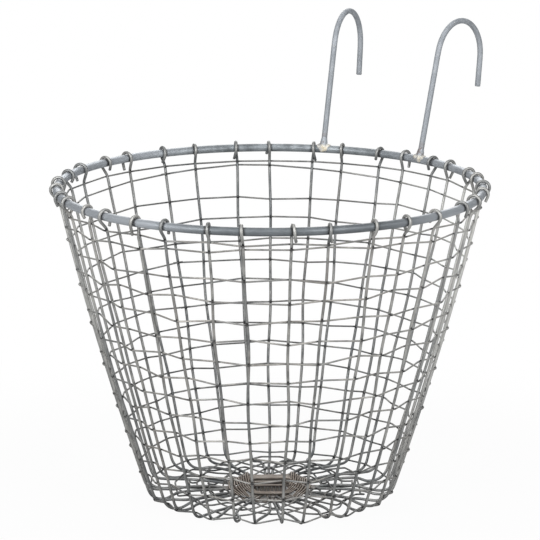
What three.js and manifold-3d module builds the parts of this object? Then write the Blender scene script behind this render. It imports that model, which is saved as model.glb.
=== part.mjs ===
// Wire hanging basket: a tapered open basket woven from galvanised wire, with a thick rim ring
// and two welded hooks that go over a rail. Millimetres, +Z up. The origin is on the basket's
// axis at floor level, and +Y points to the back, where the hooks are.
import * as THREE from 'three';
import { mergeVertices } from 'three/addons/utils/BufferGeometryUtils.js';
import Module from 'manifold-3d';

// Wires: diameter, and the number of flats that each round section is drawn with
const RIM_ROD = { diameter: 4.5, sides: 8 };
const HOOK_ROD = { diameter: 3.4, sides: 8 };
const STAKE_WIRE = { diameter: 1.6, sides: 6 };
const WEFT_WIRE = { diameter: 0.9, sides: 4 };
const BINDING_WIRE = { diameter: 0.9, sides: 6 };
const WIRE_GAP = 0.3;

// Rim and wall
const RIM_OUTSIDE = 250;
const RIM_HEIGHT = 183;
const BASE_RADIUS = 71;
const WALL_BULGE = 2.5;
const CORNER_BEND = 9;
const CORNER_STEPS = 3;
const CORNER_ROUND_STEP = 2;
const WALL_LENGTHS = 2;
const RIM_FACETS = 60;

// Stakes: the upright wires round the wall, drawn together in pairs and crowded a little on two
// opposite sides
const STAKE_COUNT = 35;
const STAKE_START = THREE.MathUtils.degToRad(-11.5);
const STAKE_PAIR = THREE.MathUtils.degToRad(0.8);
const STAKE_DRIFT = THREE.MathUtils.degToRad(2.4);
const STAKE_DRIFT_TURN = THREE.MathUtils.degToRad(6.3);
const FOOT_LENGTH = 3.1;
const FOOT_RAMP = 6;
const LOOP_STEPS = 5;
const TAIL_DROP = 5.5;
const TAIL_SHIFT = 1.8;
const TAIL_TUCK = 1.4;
const NECK_DROP = 7.2;
const NECK_BEND_DROP = 3.3;
const NECK_BEND_SHARE = 0.75;

// Base: bundles of three spokes that meet in a square cross at the hub. The lower wires lie side
// by side there, and the upper ones are stacked over them in three rows.
const BUNDLE = 3;
const UPPER_ROWS = [0, 1, 2, 0, 2, 1, 2, 1, 0];
const UPPER_ROW_COUNT = Math.max(...UPPER_ROWS) + 1;
const FAN_POWER = 4;
const SPOKE_HEIGHT = 2.95;
const CROSS_HALF = 9.5;
const HUB_EDGE = 14;
const LAYER_END = 24;
const BUNDLE_SPREAD = THREE.MathUtils.degToRad(26);
const BASE_ROUND_FIRST = 28.5;
const BASE_ROUND_PITCH = 6.4;
const BASE_ROUND_COUNT = 5;

// Weft: the thin wire woven round the wall
const TOP_ROUND_DROP = 8.5;
const TOP_PAIR_LEAST = 1.8;
const TOP_PAIR_WAVE = 3.6;
const TOP_PAIR_TURN = THREE.MathUtils.degToRad(129);
const FIRST_ROUND_DROP = 29.5;
const ROUND_PITCH = 12.3;
const LOWEST_ROUND = 5;
const WANDER = 1.4;
const WANDER_SLOW = { perStake: 0.9, perRound: 2.1, share: 0.6 };
const WANDER_QUICK = { perStake: 2.3, perRound: -1.3, share: 0.4 };
const WEFT_START = 16;
const WEFT_STUB = 2.2;

// Hub binding: a spiral wound round the cross, a little square like the cross itself
const BINDING_LOOPS = 7;
const BINDING_START = 12.9;
const BINDING_PITCH = 1.4;
const BINDING_SQUARE = 1.8;
const BINDING_ARM = THREE.MathUtils.degToRad(36);
const BINDING_ARM_SHARES = [-1, -0.6, 0, 0.6, 1];

// Hanging hooks, each bent in its own upright plane
const HOOK_FOOT_TURN = THREE.MathUtils.degToRad(15.9);
const HOOK_SPLAY = THREE.MathUtils.degToRad(8.2);
const HOOK_LEAN = THREE.MathUtils.degToRad(15.7);
const HOOK_STEM = 64;
const HOOK_BEND = 21.9;
const HOOK_TIP = 18;
const HOOK_TIP_LEAN = THREE.MathUtils.degToRad(7);
const HOOK_CROWN_HALF = THREE.MathUtils.degToRad(9);
const HOOK_BEND_STEPS = 4;

// Weld beads at the hook feet
const WELD_FOOT = 4.2;
const WELD_NECK = 0.7;
const WELD_HEIGHT = 4.6;
const WELD_SKIRT = 1.3;
const WELD_LIP = 0.4;
const WELD_WAIST = 1.7;
const WELD_WAIST_HEIGHT = 2.1;
const WELD_SEGMENTS = 14;

const UP = new THREE.Vector3(0, 0, 1);
const { lerp } = THREE.MathUtils;

// Corner distance of a polygon that has the round wire's own area, and the distance to its flats
const cornerReach = ({ diameter, sides }) =>
  (diameter / 2) * Math.sqrt((2 * Math.PI) / (sides * Math.sin((2 * Math.PI) / sides)));
const flatReach = (wire) => cornerReach(wire) * Math.cos(Math.PI / wire.sides);

// Distance between the centre lines of two crossing wires that lie flat to flat
const crossing = (a, b) => flatReach(a) + flatReach(b) + WIRE_GAP;

// Distance between the centre lines of two wires that run side by side, corner to corner
const besideEachOther = (wire) => 2 * cornerReach(wire) + WIRE_GAP;

const RIM_RADIUS = (RIM_OUTSIDE - RIM_ROD.diameter) / 2;
const STAKE_STEP = (2 * Math.PI) / STAKE_COUNT;
const FOOT_HEIGHT = flatReach(STAKE_WIRE);
const SPOKE_PITCH = besideEachOther(STAKE_WIRE);
const LAYER_RISE = crossing(STAKE_WIRE, STAKE_WIRE);
const LOOP_RADIUS = cornerReach(RIM_ROD) + cornerReach(STAKE_WIRE) + WIRE_GAP;
const WEFT_OFFSET = crossing(STAKE_WIRE, WEFT_WIRE);
const BINDING_OFFSET = crossing(STAKE_WIRE, BINDING_WIRE);

const radial = (angle) => new THREE.Vector3(Math.cos(angle), Math.sin(angle), 0);
const tangential = (angle) => new THREE.Vector3(-Math.sin(angle), Math.cos(angle), 0);
const polar = (radius, angle, height) =>
  new THREE.Vector3(radius * Math.cos(angle), radius * Math.sin(angle), height);
const stakeAngle = (end) => {
  const even = STAKE_START + end * STAKE_STEP;
  const pair = end % 2 === 0 ? -STAKE_PAIR : STAKE_PAIR;
  return even + pair + STAKE_DRIFT * Math.cos(2 * (even - STAKE_DRIFT_TURN));
};

// A wire's centre line: one ring at each point, mitred in the plane of its bends. Each point has
// a side direction, so that a flat of the section always faces square to it.
class WirePath extends THREE.Curve {
  constructor(points, sides) {
    super();
    this.points = points;
    this.sides = sides;
  }

  getSpacedPoints() {
    return this.points;
  }

  computeFrenetFrames() {
    const last = this.points.length - 1;
    const along = this.points.slice(1).map((point, i) => point.clone().sub(this.points[i]).normalize());
    const tangents = [];
    const normals = [];
    const binormals = [];
    this.points.forEach((_, i) => {
      const before = along[Math.max(i - 1, 0)];
      const after = along[Math.min(i, last - 1)];
      const tangent = before.clone().add(after).normalize();
      const binormal = this.sides[i].clone().projectOnPlane(tangent).normalize();
      const mitre = 1 / tangent.dot(after);
      tangents.push(tangent);
      binormals.push(binormal);
      normals.push(binormal.clone().cross(tangent).multiplyScalar(mitre));
    });
    return { tangents, normals, binormals };
  }
}

function wireGeometry(wire, points, sides) {
  const reach = cornerReach(wire);
  const corners = Array.from({ length: wire.sides }, (_, i) => {
    const turn = ((i + 0.5) * 2 * Math.PI) / wire.sides;
    return new THREE.Vector2(reach * Math.cos(turn), reach * Math.sin(turn));
  });
  return new THREE.ExtrudeGeometry(new THREE.Shape(corners), {
    steps: points.length - 1,
    extrudePath: new WirePath(points, sides),
  });
}

// The wall's centre line: a straight taper with a slight outward belly
function wallRadius(height) {
  const share = height / RIM_HEIGHT;
  return lerp(BASE_RADIUS, RIM_RADIUS, share) + WALL_BULGE * 4 * share * (1 - share);
}

// The wall's lean from upright at a height
function wallLean(height) {
  const share = height / RIM_HEIGHT;
  const rise = (RIM_RADIUS - BASE_RADIUS + WALL_BULGE * 4 * (1 - 2 * share)) / RIM_HEIGHT;
  return Math.atan(rise);
}

// The corner bend is an arc that leaves the floor level and runs into the wall's taper
const CORNER_TURN = Math.PI / 2 - wallLean(CORNER_BEND / 2);
const CORNER_TOP = FOOT_HEIGHT + CORNER_BEND * (1 - Math.cos(CORNER_TURN));
const CORNER_START = wallRadius(CORNER_TOP) - CORNER_BEND * Math.sin(CORNER_TURN);
const NECK_HEIGHT = RIM_HEIGHT - NECK_DROP;
const FOOT_INNER = CORNER_START - FOOT_LENGTH;
const RAMP_INNER = FOOT_INNER - FOOT_RAMP;

// The stakes follow the wall in straight lengths between these heights
const WALL_STATIONS = Array.from({ length: WALL_LENGTHS + 1 }, (_, i) =>
  lerp(CORNER_TOP, NECK_HEIGHT, i / WALL_LENGTHS));

// Radius of a stake's straight length at a height
function stakeRadius(height) {
  const above = Math.max(WALL_STATIONS.findIndex((station) => station >= height), 1);
  const low = WALL_STATIONS[above - 1];
  const high = WALL_STATIONS[above];
  return lerp(wallRadius(low), wallRadius(high), (height - low) / (high - low));
}

// Base bundles: twelve groups, three to each arm of the cross
const BUNDLES_IN_ARM = 3;
const ARMS = 4;
const WIRES_IN_ARM = BUNDLE * BUNDLES_IN_ARM;
const WIRE_ENDS = ARMS * WIRES_IN_ARM;
const HUB_TURN = STAKE_START + Math.PI / 4;

// The angle of a spoke at a radius: parallel to its bundle at the hub, at its stake by the corner
function spokeAngle(end, radius) {
  const bundle = Math.floor(end / BUNDLE);
  const arm = Math.floor(bundle / BUNDLES_IN_ARM);
  const share = THREE.MathUtils.clamp((radius - HUB_EDGE) / (FOOT_INNER - HUB_EDGE), 0, 1);
  const atHub = HUB_TURN + (arm * Math.PI) / 2 + ((bundle % BUNDLES_IN_ARM) - 1) * BUNDLE_SPREAD;
  const middle = lerp(atHub, stakeAngle(bundle * BUNDLE + 1), share);
  const beside = middle + ((end % BUNDLE) - 1) * Math.asin(SPOKE_PITCH / radius);
  return lerp(beside, stakeAngle(end), share ** FAN_POWER);
}

// Height of a spoke at a radius, on a level of the hub: all come down to the lowest level
const hubHeight = (level, radius) => {
  const share = THREE.MathUtils.clamp((LAYER_END - radius) / (LAYER_END - HUB_EDGE), 0, 1);
  return SPOKE_HEIGHT + LAYER_RISE * level * share;
};

// One end of a stake wire in order from the cross outwards: spoke, corner, wall, neck, loop, tail
function stakeEnd(end, level, cutShort) {
  const angle = stakeAngle(end);
  const spokePoint = (radius) => polar(radius, spokeAngle(end, radius), hubHeight(level, radius));
  const points = [HUB_EDGE, LAYER_END].map(spokePoint);
  if (cutShort) return points;

  points.push(spokePoint((LAYER_END + RAMP_INNER) / 2), spokePoint(RAMP_INNER));
  points.push(polar(FOOT_INNER, angle, FOOT_HEIGHT));
  for (let i = 0; i <= CORNER_STEPS; i += 1) {
    const turn = (CORNER_TURN * i) / CORNER_STEPS;
    const radius = CORNER_START + CORNER_BEND * Math.sin(turn);
    points.push(polar(radius, angle, FOOT_HEIGHT + CORNER_BEND * (1 - Math.cos(turn))));
  }

  WALL_STATIONS.slice(1).forEach((height) => points.push(polar(wallRadius(height), angle, height)));

  // Every second stake comes up outside the rim, and the others inside
  const side = end % 2 === 0 ? 1 : -1;
  const drift = tangential(angle).multiplyScalar(end % 3 === 0 ? -TAIL_SHIFT : TAIL_SHIFT);
  const neckRadius = lerp(wallRadius(NECK_HEIGHT), RIM_RADIUS + side * LOOP_RADIUS, NECK_BEND_SHARE);
  points.push(polar(neckRadius, angle, RIM_HEIGHT - NECK_BEND_DROP));
  for (let i = 0; i <= LOOP_STEPS; i += 1) {
    const share = i / LOOP_STEPS;
    const turn = Math.PI * share;
    const radius = RIM_RADIUS + side * LOOP_RADIUS * Math.cos(turn);
    const height = RIM_HEIGHT + LOOP_RADIUS * Math.sin(turn);
    points.push(polar(radius, angle, height).addScaledVector(drift, share / 2));
  }
  const tailRadius = RIM_RADIUS - side * (LOOP_RADIUS - TAIL_TUCK);
  points.push(polar(tailRadius, angle, RIM_HEIGHT - TAIL_DROP).add(drift));
  return points;
}

// A stake wire runs from one side of the rim down the wall, across the hub and up the far side
function stakeWire(firstEnd, secondEnd, upper) {
  const lane = firstEnd % WIRES_IN_ARM;
  const level = upper ? 1 + UPPER_ROWS[lane] : 0;
  const place = upper ? Math.floor(lane / BUNDLE) - 1 : lane - (WIRES_IN_ARM - 1) / 2;
  const armTurn = HUB_TURN + (upper ? 0 : Math.PI / 2);
  const sideways = tangential(armTurn);
  const crossPoint = (reach) => radial(armTurn).multiplyScalar(reach)
    .addScaledVector(sideways, place * SPOKE_PITCH).setZ(hubHeight(level, CROSS_HALF));

  const first = stakeEnd(firstEnd, level, false).reverse();
  const second = stakeEnd(secondEnd, level, secondEnd >= STAKE_COUNT);
  const points = [...first, crossPoint(CROSS_HALF), crossPoint(-CROSS_HALF), ...second];
  const sides = [
    ...first.map(() => tangential(stakeAngle(firstEnd))),
    sideways,
    sideways,
    ...second.map(() => tangential(stakeAngle(secondEnd)).negate()),
  ];
  return wireGeometry(STAKE_WIRE, points, sides);
}

// How far a weft round strays from level at a stake
const wander = (round, stake) => {
  const wave = ({ perStake, perRound, share }) => share * Math.sin(perStake * stake + perRound * round);
  return WANDER * (wave(WANDER_SLOW) + wave(WANDER_QUICK));
};

// The second round from the top closes up to the first at the back and the front
const topPairGap = (stake) =>
  TOP_PAIR_LEAST + TOP_PAIR_WAVE * (1 - Math.cos(2 * (stakeAngle(stake) - TOP_PAIR_TURN)));

// The heights of the weft rounds at a stake, from the rim down
const topRounds = [
  () => RIM_HEIGHT - TOP_ROUND_DROP,
  (stake) => RIM_HEIGHT - TOP_ROUND_DROP - topPairGap(stake),
];
const plainRoundCount =
  1 + Math.floor((RIM_HEIGHT - FIRST_ROUND_DROP - CORNER_TOP - LOWEST_ROUND) / ROUND_PITCH);
const plainRounds = Array.from({ length: plainRoundCount }, (_, i) => (stake) =>
  RIM_HEIGHT - FIRST_ROUND_DROP - i * ROUND_PITCH + wander(i, stake));

// A point of the weft beside a stake's straight length, outside it or inside it
function wallCrossing(height, inOut) {
  const lean = wallLean(height);
  return {
    radius: stakeRadius(height) + inOut * WEFT_OFFSET * Math.cos(lean),
    height: height - inOut * WEFT_OFFSET * Math.sin(lean),
  };
}

// A point of the weft beside a stake's corner bend, outside it or inside it
function cornerCrossing(inOut) {
  const turn = (CORNER_TURN * CORNER_ROUND_STEP) / CORNER_STEPS;
  const reach = CORNER_BEND + inOut * WEFT_OFFSET;
  return {
    radius: CORNER_START + reach * Math.sin(turn),
    height: FOOT_HEIGHT + CORNER_BEND - reach * Math.cos(turn),
  };
}

// One weft round: outside one stake and inside the next, with both ends past the same stake
function weftRound(firstSide, crossingAt) {
  const points = [];
  for (let i = 0; i <= STAKE_COUNT; i += 1) {
    const stake = (WEFT_START + i) % STAKE_COUNT;
    const angle = stakeAngle(stake);
    const { radius, height } = crossingAt(stake, i % 2 === 0 ? firstSide : -firstSide);
    const point = polar(radius, angle, height);
    const stub = tangential(angle).multiplyScalar(WEFT_STUB);
    if (i === 0) points.push(point.clone().sub(stub));
    points.push(point);
    if (i === STAKE_COUNT) points.push(point.clone().add(stub));
  }
  return wireGeometry(WEFT_WIRE, points, points.map(() => UP));
}

// One round in the base: over one bundle of spokes and under the next, its ends butted on a bundle
function baseRound(round, radius) {
  const bundles = ARMS * BUNDLES_IN_ARM;
  const points = [];
  for (let bundle = 0; bundle < bundles; bundle += 1) {
    const overUnder = (bundle + round) % 2 === 0 ? 1 : -1;
    const lastEnd = Math.min(bundle * BUNDLE + BUNDLE, STAKE_COUNT) - 1;
    [bundle * BUNDLE, lastEnd].forEach((end) => {
      points.push(polar(radius, spokeAngle(end, radius), SPOKE_HEIGHT + overUnder * WEFT_OFFSET));
    });
  }
  const overUnder = round % 2 === 0 ? 1 : -1;
  const meeting = spokeAngle(0, radius) - (WEFT_STUB + WIRE_GAP) / radius;
  points.unshift(polar(radius, meeting + WIRE_GAP / radius, SPOKE_HEIGHT + overUnder * WEFT_OFFSET));
  points.push(polar(radius, meeting - WIRE_GAP / radius, SPOKE_HEIGHT + overUnder * WEFT_OFFSET));
  return wireGeometry(WEFT_WIRE, points, points.map(() => UP));
}

// The hub binding: an arch over each stacked upper arm, and a level run under each lower arm
function bindingPoints() {
  const points = [];
  for (let loop = 0; loop < BINDING_LOOPS; loop += 1) {
    for (let arm = 0; arm < ARMS; arm += 1) {
      const upper = arm % 2 === 0;
      BINDING_ARM_SHARES.forEach((share) => {
        const turn = (arm * Math.PI) / 2 + share * BINDING_ARM;
        const spiral = BINDING_START + BINDING_PITCH * (loop + turn / (2 * Math.PI));
        const radius = spiral + BINDING_SQUARE * Math.abs(share);
        const row = Math.abs(share) < 1 ? UPPER_ROW_COUNT : 1;
        const height = upper
          ? hubHeight(row, radius) + BINDING_OFFSET
          : SPOKE_HEIGHT - BINDING_OFFSET;
        points.push(polar(radius, HUB_TURN + turn, height));
      });
    }
  }
  return points;
}

// Least clear distance between points of the binding that are at least half a loop apart
function leastSelfGap(points, apart, diameter) {
  const path = new THREE.CurvePath();
  points.slice(1).forEach((point, i) => path.add(new THREE.LineCurve3(points[i], point)));
  const shares = [0, 0.25, 0.5, 0.75];
  const dense = path.curves.flatMap((line) => shares.map((share) => line.getPoint(share)));
  let least = Infinity;
  dense.forEach((point, i) => {
    for (let j = i + apart * shares.length; j < dense.length; j += 1) {
      least = Math.min(least, point.distanceTo(dense[j]) - diameter);
    }
  });
  return least;
}

// A hook's centre line in its plane: stem, bend with a level crown, and a tip that leans back in
function hookOutline(footRise) {
  const lean = (angle) => new THREE.Vector2(Math.sin(angle), Math.cos(angle));
  const square = (angle) => new THREE.Vector2(Math.cos(angle), -Math.sin(angle));
  const foot = lean(HOOK_LEAN).multiplyScalar(footRise);
  const bendStart = lean(HOOK_LEAN).multiplyScalar(HOOK_STEM);
  const centre = bendStart.clone().addScaledVector(square(HOOK_LEAN), HOOK_BEND);
  const outline = [foot];
  const crown = Math.PI / 2;
  const tipTurn = Math.PI + HOOK_TIP_LEAN;
  for (let i = 0; i <= HOOK_BEND_STEPS; i += 1) {
    const turn = lerp(HOOK_LEAN, crown - HOOK_CROWN_HALF, i / HOOK_BEND_STEPS);
    outline.push(centre.clone().addScaledVector(square(turn), -HOOK_BEND));
  }
  for (let i = 0; i <= HOOK_BEND_STEPS; i += 1) {
    const turn = lerp(crown + HOOK_CROWN_HALF, tipTurn, i / HOOK_BEND_STEPS);
    outline.push(centre.clone().addScaledVector(square(turn), -HOOK_BEND));
  }
  outline.push(outline.at(-1).clone().addScaledVector(lean(tipTurn), HOOK_TIP));
  return outline;
}

// Where a hook stands: its foot on the rim's top, and its plane's outward direction
function hookPlace(sign) {
  const outward = radial(Math.PI / 2 - sign * HOOK_SPLAY);
  const footTurn = Math.PI / 2 - sign * HOOK_FOOT_TURN;
  const foot = polar(RIM_RADIUS, footTurn, RIM_HEIGHT + cornerReach(RIM_ROD));
  return { outward, foot };
}

function hangingHook(sign) {
  const { outward, foot } = hookPlace(sign);
  const footRise = WIRE_GAP + cornerReach(HOOK_ROD) * Math.sin(HOOK_LEAN);
  const points = hookOutline(footRise).map(({ x, y }) =>
    foot.clone().addScaledVector(outward, x).addScaledVector(UP, y));
  const plane = outward.clone().cross(UP);
  return wireGeometry(HOOK_ROD, points, points.map(() => plane));
}

function rimGeometry(rod, growth) {
  const geometry = new THREE.TorusGeometry(RIM_RADIUS, cornerReach(rod) + growth, rod.sides, RIM_FACETS);
  return geometry.rotateZ(STAKE_START).translate(0, 0, RIM_HEIGHT);
}

const wasm = await Module();
wasm.setup();

function toSolid(geometry) {
  const bare = geometry.clone();
  bare.deleteAttribute('normal');
  bare.deleteAttribute('uv');
  const merged = mergeVertices(bare, 1e-4);
  return new wasm.Manifold(new wasm.Mesh({
    numProp: 3,
    vertProperties: new Float32Array(merged.attributes.position.array),
    triVerts: new Uint32Array(merged.index.array),
  }));
}

function toGeometry(solid) {
  const { vertProperties, triVerts } = solid.getMesh();
  const geometry = new THREE.BufferGeometry();
  geometry.setAttribute('position', new THREE.BufferAttribute(vertProperties, 3));
  geometry.setIndex(new THREE.BufferAttribute(triVerts, 1));
  return geometry;
}

// A weld bead: a flared collar round the hook's foot, cut to the rim that it sits on
function weldBead(sign) {
  const { outward, foot } = hookPlace(sign);
  const bore = cornerReach(HOOK_ROD) + WIRE_GAP;
  const profile = [
    [bore, -WELD_SKIRT],
    [WELD_FOOT, -WELD_SKIRT],
    [WELD_FOOT, WELD_LIP],
    [bore + WELD_WAIST, WELD_WAIST_HEIGHT],
    [bore + WELD_NECK, WELD_HEIGHT],
    [bore, WELD_HEIGHT],
    [bore, -WELD_SKIRT],
  ].map(([radius, height]) => new THREE.Vector2(radius, height));
  const collar = new THREE.LatheGeometry(profile, WELD_SEGMENTS);
  const stem = UP.clone().multiplyScalar(Math.cos(HOOK_LEAN));
  stem.addScaledVector(outward, Math.sin(HOOK_LEAN));
  const place = new THREE.Matrix4().makeRotationFromQuaternion(
    new THREE.Quaternion().setFromUnitVectors(new THREE.Vector3(0, 1, 0), stem),
  ).setPosition(foot);
  const solidCollar = toSolid(collar.applyMatrix4(place));
  return toGeometry(solidCollar.subtract(toSolid(rimGeometry(RIM_ROD, WIRE_GAP))));
}

const steel = (color, roughness, metalness) => () =>
  new THREE.MeshStandardMaterial({ color, roughness, metalness });
const rimZinc = steel(0x858b90, 0.45, 0.85);
const hookZinc = steel(0x9ea4aa, 0.4, 0.85);
const stakeZinc = steel(0x7d7c78, 0.5, 0.8);
const weftZinc = steel(0x82807c, 0.5, 0.8);
const hubBrown = steel(0x82766c, 0.6, 0.7);
const weldMetal = steel(0xc9c3b4, 0.7, 0.5);

const basket = new THREE.Group();
basket.name = 'wire_hanging_basket';

function addPiece(name, geometry, material) {
  const mesh = new THREE.Mesh(geometry, material());
  mesh.name = name;
  basket.add(mesh);
}

addPiece('rim_ring', rimGeometry(RIM_ROD, 0), rimZinc);

[['left', -1], ['right', 1]].forEach(([hand, sign]) => {
  addPiece(`hook_${hand}`, hangingHook(sign), hookZinc);
  addPiece(`hook_weld_${hand}`, weldBead(sign), weldMetal);
});

for (let lane = 0; lane < WIRES_IN_ARM; lane += 1) {
  const oppositeOfUpper = 3 * WIRES_IN_ARM - 1 - lane;
  const oppositeOfLower = WIRE_ENDS - 1 - lane;
  const lowerEnd = WIRES_IN_ARM + lane;
  addPiece(`upper_stake_wire_${lane + 1}`, stakeWire(lane, oppositeOfUpper, true), stakeZinc);
  addPiece(`lower_stake_wire_${lane + 1}`, stakeWire(lowerEnd, oppositeOfLower, false), stakeZinc);
}

[...topRounds, ...plainRounds].forEach((heightAt, round) => {
  const number = String(round + 1).padStart(2, '0');
  const firstSide = round % 2 === 0 ? 1 : -1;
  const geometry = weftRound(firstSide, (stake, inOut) => wallCrossing(heightAt(stake), inOut));
  addPiece(`weft_round_${number}`, geometry, weftZinc);
});
addPiece('corner_round', weftRound(1, (_, inOut) => cornerCrossing(inOut)), weftZinc);

for (let round = 0; round < BASE_ROUND_COUNT; round += 1) {
  const radius = BASE_ROUND_FIRST + round * BASE_ROUND_PITCH;
  addPiece(`base_round_${round + 1}`, baseRound(round, radius), weftZinc);
}

const binding = bindingPoints();
addPiece('hub_binding', wireGeometry(BINDING_WIRE, binding, binding.map(() => UP)), hubBrown);
const bindingGap = leastSelfGap(binding, BINDING_ARM_SHARES.length * 2, BINDING_WIRE.diameter);
console.log(`hub binding: least gap to itself ${bindingGap.toFixed(2)} mm`);

export default basket;
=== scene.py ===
"""Wire hanging basket: round wires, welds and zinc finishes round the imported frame."""

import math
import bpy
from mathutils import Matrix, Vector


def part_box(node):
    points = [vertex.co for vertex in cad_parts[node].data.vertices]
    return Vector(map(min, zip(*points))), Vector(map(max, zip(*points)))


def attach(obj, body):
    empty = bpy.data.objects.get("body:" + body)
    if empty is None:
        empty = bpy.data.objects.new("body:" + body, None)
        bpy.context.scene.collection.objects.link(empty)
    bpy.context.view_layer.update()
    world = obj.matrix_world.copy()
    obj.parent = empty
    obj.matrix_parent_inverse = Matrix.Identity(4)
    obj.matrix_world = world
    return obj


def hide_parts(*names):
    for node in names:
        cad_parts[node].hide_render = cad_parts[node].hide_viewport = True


bl_info = {
    "name": "Wire hanging basket",
    "version": (1, 0, 0),
    "blender": (4, 5, 0),
    "location": "View3D > Sidebar > Basket",
    "description": "Dresses a woven wire basket with round wires and zinc finishes",
    "category": "Add Mesh",
}

import bpy
import numpy as np
from bpy.props import FloatProperty, FloatVectorProperty, IntProperty, PointerProperty
from mathutils import Vector

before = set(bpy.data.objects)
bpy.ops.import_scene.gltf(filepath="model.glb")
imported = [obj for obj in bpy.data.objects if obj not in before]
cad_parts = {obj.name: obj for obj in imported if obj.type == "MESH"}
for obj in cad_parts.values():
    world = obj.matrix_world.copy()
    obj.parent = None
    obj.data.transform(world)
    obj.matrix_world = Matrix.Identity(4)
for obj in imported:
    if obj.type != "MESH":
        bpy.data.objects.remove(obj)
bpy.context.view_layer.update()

MM = 0.001
TURN = 2 * math.pi
UP = np.array([0.0, 0.0, 1.0])
RIM_LOW, RIM_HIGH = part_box("rim_ring")


def length(name, description, default_mm):
    """A length property, given in millimetres and kept in metres."""
    return FloatProperty(
        name=name,
        description=description,
        default=default_mm * MM,
        min=0.0,
        precision=5,
        unit="LENGTH",
    )


def angle(name, description, default_degrees):
    """An angle property, given in degrees and kept in radians."""
    return FloatProperty(
        name=name,
        description=description,
        default=math.radians(default_degrees),
        subtype="ANGLE",
    )


def colour(name, description, default):
    """A colour property in linear red, green and blue."""
    return FloatVectorProperty(
        name=name,
        description=description,
        default=default,
        size=3,
        min=0.0,
        max=1.0,
        subtype="COLOR",
    )


class BASKET_PG_sizes(bpy.types.PropertyGroup):
    """Sizes of the basket's wires and where they run."""

    rim_outside: length("Rim outside", "Diameter over the rim ring", 250)
    rim_rod: length("Rim rod", "Diameter of the rim's rod", 4.75)
    hook_rod: length("Hook rod", "Diameter of the hooks' rod", 3.4)
    stake_wire: length("Stake wire", "Diameter of the upright wires", 1.65)
    weft_wire: length("Weft wire", "Diameter of the woven wire", 1.05)
    binding_wire: length("Binding wire", "Diameter of the hub's winding", 0.98)
    rim_height: FloatProperty(
        name="Rim height",
        description="Height of the rim's centre above the floor",
        default=(RIM_LOW.z + RIM_HIGH.z) / 2,
        unit="LENGTH",
    )
    base_radius: length("Base radius", "Radius of the wall at the floor", 71)
    wall_bulge: length("Wall bulge", "Outward belly of the wall at half height", 2.5)
    corner_bend: length("Corner bend", "Radius of the bend between base and wall", 9)
    foot_length: length("Foot length", "Level length that each stake stands on", 3.1)
    foot_ramp: length("Foot ramp", "Length over which a spoke comes down to its foot", 6)
    spoke_gap: length("Spoke gap", "Clear distance between the spokes of a bundle", 0.5)
    layer_gap: length("Layer gap", "Clear distance between the hub's stacked wires", 0.55)
    spoke_height: length("Spoke height", "Height of the spokes' centre over the floor", 2.6)
    bundle_lift: length("Bundle lift", "How far a bundle's middle spoke lies over its neighbours", 1.6)
    bundle_start: length("Bundle start", "Radius where the middle spokes start to rise", 26.6)
    stakes: IntProperty(name="Stakes", description="Upright wires", default=35, min=3)
    stake_start: angle("Stake start", "Angle of the first stake", -11.5)
    stake_pair: angle("Stake pair", "How far stakes draw together in pairs", 0.8)
    stake_drift: angle("Stake drift", "How far stakes crowd on two sides", 2.4)
    drift_turn: angle("Drift turn", "Where the crowding is centred", 6.3)
    stake_wave: length("Stake wave", "How far a stake strays sideways", 0.9)
    loop_gap: length("Loop gap", "Clear distance between a loop and the rim", 0.7)
    foot_lift: length("Foot lift", "How far some feet stay off the floor", 2.2)
    tail_length: length("Tail length", "Straight end of a loop over the rim", 3.6)
    tail_shift: length("Tail shift", "How far a tail leans to the side", 1.9)
    neck_drop: length("Neck drop", "Where a stake turns towards the rim", 7.2)
    hub_edge: length("Hub edge", "Radius where the bundles part", 14)
    cross_half: length("Cross half", "Half length of the square cross", 9.5)
    layer_end: length("Layer end", "Radius where both layers of spokes are level", 24)
    top_round: length("Top round", "Drop from the rim to the first weft round", 7.9)
    pair_least: length("Pair least", "Least distance of the two top rounds", 1.8)
    pair_wave: length("Pair wave", "How far the two top rounds part", 3.6)
    first_round: length("First round", "Drop from the rim to the first plain round", 29.5)
    round_pitch: length("Round pitch", "Distance between weft rounds", 12.3)
    wander: length("Wander", "How far a weft round strays from level", 1.4)
    hook_stem: length("Hook stem", "Length of a hook's straight stem", 64)
    hook_bend: length("Hook bend", "Bend radius of a hook", 21.9)
    hook_tip: length("Hook tip", "Straight end of a hook", 18)
    hook_foot_turn: angle("Hook foot", "Turn of each hook's foot from the back", 15.9)
    hook_splay: angle("Hook splay", "Turn of each hook's plane from the back", 8.2)
    hook_lean: angle("Hook lean", "Lean of the stem from upright", 15.7)
    hook_tip_lean: angle("Hook tip lean", "Lean of the hook's end", 7)
    weld_reach: length("Weld reach", "Length of a weld along the rim to each side", 4.3)
    weld_swell: length("Weld swell", "How far a weld stands out of the rim", 1.0)
    weld_height: length("Weld height", "Height of a weld on the hook", 4.8)


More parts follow.
